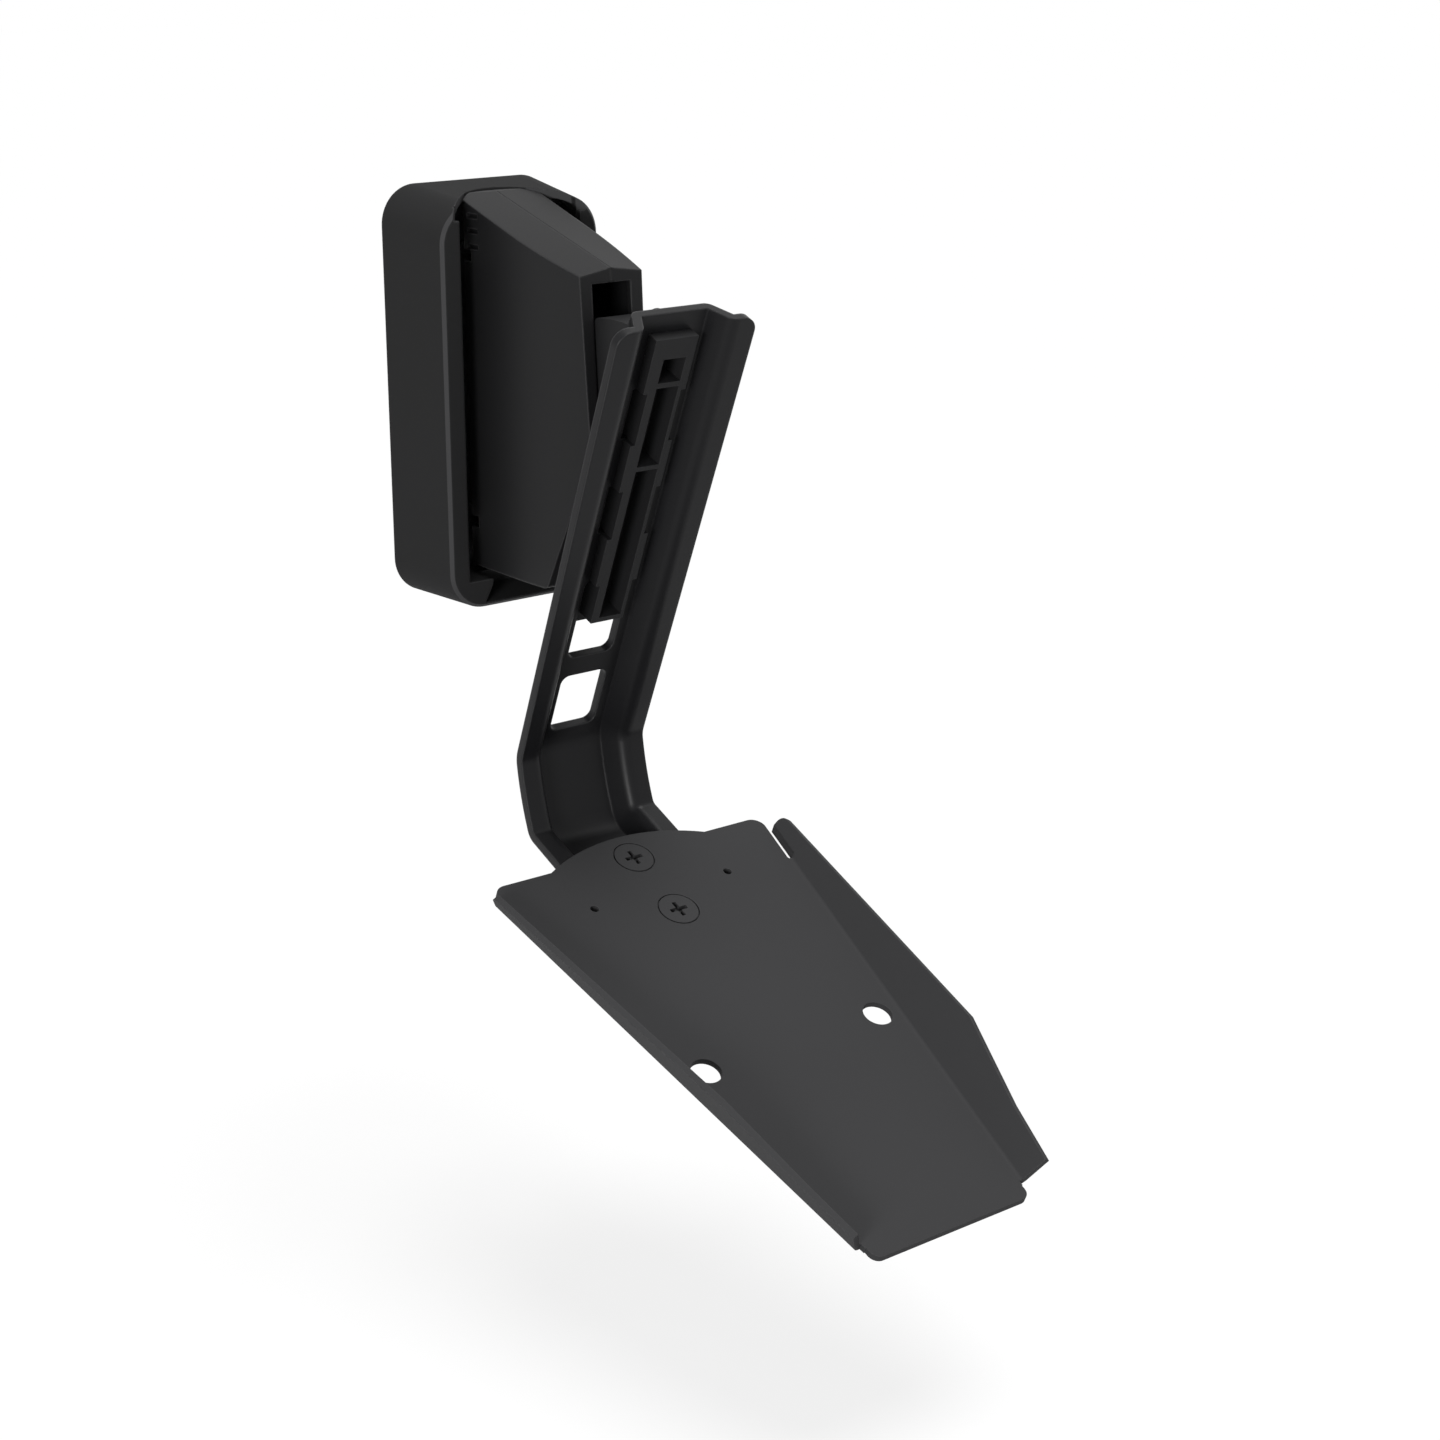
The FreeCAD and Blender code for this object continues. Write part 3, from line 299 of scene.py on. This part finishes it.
# Polyester powder coat on sheet steel: greyer and flatter than the arm, with a thin painted highlight along
# its outer edges.
POWDER_TRAY = Finish(
    "powder_coated_sheet", "3c3c3d", "3e3e3f", roughness=0.66, grain_mm=1.1, grain_height_mm=0.02,
    edge_round_mm=0.5, edge_highlight_colour="525253", specular=0.05)
# Steel screws with a baked dip coat: they match the plate, and only their crosses show as dark.
COATED_SCREW = Finish(
    "coated_screw", "3c3c3d", "3e3e3f", roughness=0.62, grain_mm=0.4, grain_height_mm=0.01,
    edge_round_mm=0.2, specular=0.06)
# Phosphated sheet steel: a flat mid-grey with the faint crystals of the bath.
PHOSPHATED_SHEET = Finish(
    "phosphated_sheet", "4e5052", "5a5c5e", roughness=0.55, grain_mm=0.8, grain_height_mm=0.02,
    edge_round_mm=0.3)
# Zinc-plated turned steel: bright and slightly blue, with blurred reflections.
ZINC_PLATE = Finish(
    "zinc_plated_steel", "b4b6b8", "c4c6c8", roughness=0.30, grain_mm=0.3, grain_height_mm=0.005,
    edge_round_mm=0.2, metallic=1.0)
# Steel blackened in an oxide bath and oiled: almost black with a low sheen.
BLACK_OXIDE = Finish(
    "black_oxide_steel", "1c1c1e", "242426", roughness=0.38, grain_mm=0.3, grain_height_mm=0.005,
    edge_round_mm=0.2)
# Natural nylon, moulded: milky off-white with a waxy sheen.
NATURAL_NYLON = Finish(
    "natural_nylon", "d8d4c8", "e0dccf", roughness=0.45, grain_mm=0.6, grain_height_mm=0.01,
    edge_round_mm=0.2)

FINISHES = {
    Slot.COVER: MOULDED_COVER,
    Slot.HEAD: MOULDED_HEAD,
    Slot.CARRIER: FILLED_NYLON,
    Slot.ARM: POWDER_ARM,
    Slot.TRAY: POWDER_TRAY,
    Slot.PLATE_SCREW: COATED_SCREW,
    Slot.SHEET_STEEL: PHOSPHATED_SHEET,
    Slot.ZINC: ZINC_PLATE,
    Slot.OXIDE: BLACK_OXIDE,
    Slot.NYLON: NATURAL_NYLON,
}


@dataclass
class Wardrobe:
    """Materials by slot, each built once."""

    materials: dict[Slot, bpy.types.Material] = field(default_factory=dict)

    def material(self, slot: Slot) -> bpy.types.Material:
        """Gives the material of one slot.

        Args:
            slot: slot of the record.

        Returns:
            The slot's material, built when it is first asked for.
        """
        if slot not in self.materials:
            self.materials[slot] = FINISHES[slot].material()
        return self.materials[slot]

    def dress(self, piece: bpy.types.Object, slot: Slot) -> None:
        """Puts a slot's material on every face of a piece.

        Args:
            piece: mesh object to dress.
            slot: slot whose finish it takes.
        """
        piece.data.materials.clear()
        piece.data.materials.append(self.material(slot))
        for polygon in piece.data.polygons:
            polygon.material_index = 0


@dataclass
class SubAssembly:
    """Solids that move as one body, each with the slot that it is dressed in."""

    body: str
    slots: dict[str, Slot]

    def build(self, wardrobe: Wardrobe) -> None:
        """Dresses the solids.

        Args:
            wardrobe: materials by slot.
        """
        for node, slot in self.slots.items():
            wardrobe.dress(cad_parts[node], slot)


@dataclass
class WallUnit(SubAssembly):
    """Cover, wall plate and the pin that the head turns on."""

    body: str = "wall_unit"
    slots: dict[str, Slot] = field(default_factory=lambda: {
        "wall_cover": Slot.COVER,
        "wall_plate": Slot.SHEET_STEEL,
        "cover_screw": Slot.OXIDE,
        "swivel_pin": Slot.ZINC,
        "swivel_nut": Slot.ZINC,
        "swivel_nut_washer": Slot.ZINC,
    })
    # The chamfer's faces point this much forwards, as the cosine of their angle to the front.
    rim_turn: tuple[float, float] = (0.6, 0.8)

    def build(self, wardrobe: Wardrobe) -> None:
        """Dresses the solids and then paints a highlight on the cover's rim.

        Args:
            wardrobe: materials by slot.
        """
        super().build(wardrobe)
        self.paint_rim_highlight(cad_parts["wall_cover"])

    def paint_rim_highlight(self, cover: bpy.types.Object) -> None:
        """Gives the chamfer round the cover's front its own paler finish, a painted highlight.

        Args:
            cover: the dressed cover.
        """
        rim_index = len(cover.data.materials)
        cover.data.materials.append(RIM_HIGHLIGHT.material())
        low, high = self.rim_turn
        for polygon in cover.data.polygons:
            if low < -polygon.normal.y < high:
                polygon.material_index = rim_index


@dataclass
class SwivelHead(SubAssembly):
    """Two moulded half shells round the swivel frame and the tilt axle."""

    body: str = "swivel_head"
    slots: dict[str, Slot] = field(default_factory=lambda: {
        "thrust_washers": Slot.NYLON,
        "upper_pivot_bush": Slot.NYLON,
        "lower_pivot_bush": Slot.NYLON,
        "swivel_frame": Slot.SHEET_STEEL,
        "housing_left": Slot.HEAD,
        "housing_right": Slot.HEAD,
        "housing_screws": Slot.OXIDE,
        "tilt_axle": Slot.ZINC,
        "axle_clip": Slot.ZINC,
        "tilt_washers": Slot.NYLON,
    })


@dataclass
class TiltArm(SubAssembly):
    """Carrier, arm, speaker plate and their screws."""

    body: str = "tilt_arm"
    slots: dict[str, Slot] = field(default_factory=lambda: {
        "tilt_sleeve": Slot.ZINC,
        "tilt_carrier": Slot.CARRIER,
        "arm_lock_screw": Slot.OXIDE,
        "arm": Slot.ARM,
        "speaker_plate": Slot.TRAY,
        "plate_screws": Slot.PLATE_SCREW,
    })


@dataclass
class Studio:
    """Pale floor, soft lamps and the camera of the photograph.

    Lengths are in metres, angles in degrees, and the lens and sensor in millimetres.
    """

    floor_drop: float = 60 * MM
    floor_size: float = 12.0
    floor_colour: str = "c4c4c4"
    shade_colour: str = "7c7c7c"
    floor_glow: float = 0.81
    world_soft: float = 0.20
    world_seen: float = 1.0
    lamp_target: Place = (0.0, -0.08, -0.03)
    sky_place: Place = (0.25, -0.25, 1.4)
    sky_energy: float = 2.4
    sky_angle: float = 32.0
    box_place: Place = (-1.35, -1.0, 0.12)
    box_size: float = 0.45
    box_power: float = 15.0
    camera_place: Place = (-426.85 * MM, -669.79 * MM, 148.28 * MM)
    camera_azimuth: float = 37.92
    camera_elevation: float = 17.90
    camera_lens: float = 65.77
    camera_sensor: float = 36.0
    camera_reach: tuple[float, float] = (0.01, 50.0)

    def camera(self) -> None:
        """Stands the camera where the photograph was taken from."""
        data = bpy.data.cameras.new("camera")
        data.sensor_fit = "HORIZONTAL"
        data.sensor_width = self.camera_sensor
        data.lens = self.camera_lens
        data.clip_start, data.clip_end = self.camera_reach
        camera = bpy.data.objects.new("camera", data)
        azimuth = math.radians(self.camera_azimuth)
        elevation = math.radians(self.camera_elevation)
        level = math.cos(elevation)
        ahead = Vector((math.sin(azimuth) * level, math.cos(azimuth) * level, -math.sin(elevation)))
        camera.matrix_world = facing(self.camera_place, ahead)
        bpy.context.scene.collection.objects.link(camera)
        bpy.context.scene.camera = camera

    def floor(self) -> None:
        """Lays a wide pale floor under the object."""
        shape = bmesh.new()
        bmesh.ops.create_grid(shape, x_segments=1, y_segments=1, size=self.floor_size / 2)
        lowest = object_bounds()[0][2]
        bmesh.ops.translate(shape, vec=Vector((0, 0, lowest - self.floor_drop)), verts=shape.verts)
        data = bpy.data.meshes.new("floor")
        shape.to_mesh(data)
        shape.free()
        piece = bpy.data.objects.new("floor", data)
        bpy.context.scene.collection.objects.link(piece)
        piece.data.materials.append(self.floor_material())
        piece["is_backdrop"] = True

    def seen_rays(self, tree: bpy.types.NodeTree) -> bpy.types.NodeSocket:
        """Tells the rays that show the background from the rays that light the object.

        Args:
            tree: node tree of the floor or the world.

        Returns:
            Socket that is 1 for camera, glossy and transmission rays and 0 for the others.
        """
        path = add_node(tree, "ShaderNodeLightPath")
        mirrored = add_node(
            tree, "ShaderNodeMath", {"operation": "MAXIMUM"},
            {0: path.outputs["Is Glossy Ray"], 1: path.outputs["Is Transmission Ray"]})
        seen = add_node(
            tree, "ShaderNodeMath", {"operation": "MAXIMUM"},
            {0: path.outputs["Is Camera Ray"], 1: mirrored.outputs["Value"]})
        return seen.outputs["Value"]

    def floor_material(self) -> bpy.types.Material:
        """Makes the matte floor, which glows just enough to be seen as white and keeps its shadow.

        Returns:
            The floor's material.
        """
        material = bpy.data.materials.new("pale_floor")
        tree = cleared_tree(material)
        paint = add_node(tree, "ShaderNodeBsdfDiffuse", {"Color": linear(self.floor_colour)})
        shade = add_node(tree, "ShaderNodeBsdfDiffuse", {"Color": linear(self.shade_colour)})
        glow = add_node(
            tree, "ShaderNodeEmission", {"Color": linear(WHITE), "Strength": self.floor_glow})
        both = add_node(
            tree, "ShaderNodeAddShader", None, {0: shade.outputs["BSDF"], 1: glow.outputs["Emission"]})
        choose = add_node(
            tree, "ShaderNodeMixShader", None,
            {"Fac": self.seen_rays(tree), 1: paint.outputs["BSDF"], 2: both.outputs["Shader"]})
        add_node(tree, "ShaderNodeOutputMaterial", None, {"Surface": choose.outputs["Shader"]})
        return material

    def world(self) -> None:
        """Sets soft grey surroundings that the camera and mirrors see as white."""
        world = bpy.data.worlds.new("studio")
        bpy.context.scene.world = world
        tree = cleared_tree(world)
        soft = add_node(
            tree, "ShaderNodeBackground", {"Color": linear(WHITE), "Strength": self.world_soft})
        white = add_node(
            tree, "ShaderNodeBackground", {"Color": linear(WHITE), "Strength": self.world_seen})
        choose = add_node(
            tree, "ShaderNodeMixShader", None,
            {"Fac": self.seen_rays(tree), 1: soft.outputs["Background"], 2: white.outputs["Background"]})
        add_node(tree, "ShaderNodeOutputWorld", None, {"Surface": choose.outputs["Shader"]})

    def hang(self, data: bpy.types.Light, place: Place) -> None:
        """Hangs a lamp so that it faces the bracket.

        Args:
            data: the lamp, with its size and power set.
            place: its centre.
        """
        lamp = bpy.data.objects.new(data.name, data)
        lamp.matrix_world = facing(place, Vector(self.lamp_target) - Vector(place))
        bpy.context.scene.collection.objects.link(lamp)

    def lamps(self) -> None:
        """Lights everything evenly from above, and the bracket's left side from a soft box."""
        sky = bpy.data.lights.new("overhead_light", "SUN")
        sky.energy = self.sky_energy
        sky.angle = math.radians(self.sky_angle)
        self.hang(sky, self.sky_place)
        box = bpy.data.lights.new("left_box", "AREA")
        box.shape = "SQUARE"
        box.size = self.box_size
        box.energy = self.box_power
        self.hang(box, self.box_place)

    def build(self) -> None:
        """Sets floor, world, lamps and camera."""
        self.floor()
        self.world()
        self.lamps()
        self.camera()
        bpy.context.scene.view_settings.view_transform = "Standard"


def main() -> None:
    """Builds every sub-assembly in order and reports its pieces."""
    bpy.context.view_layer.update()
    wardrobe = Wardrobe()
    for part in (WallUnit(), SwivelHead(), TiltArm()):
        part.build(wardrobe)
        for node, slot in part.slots.items():
            log.info("%s: %s dressed in %s", part.body, node, FINISHES[slot].name)
    Studio().build()


if __name__ == "__main__":
    main()
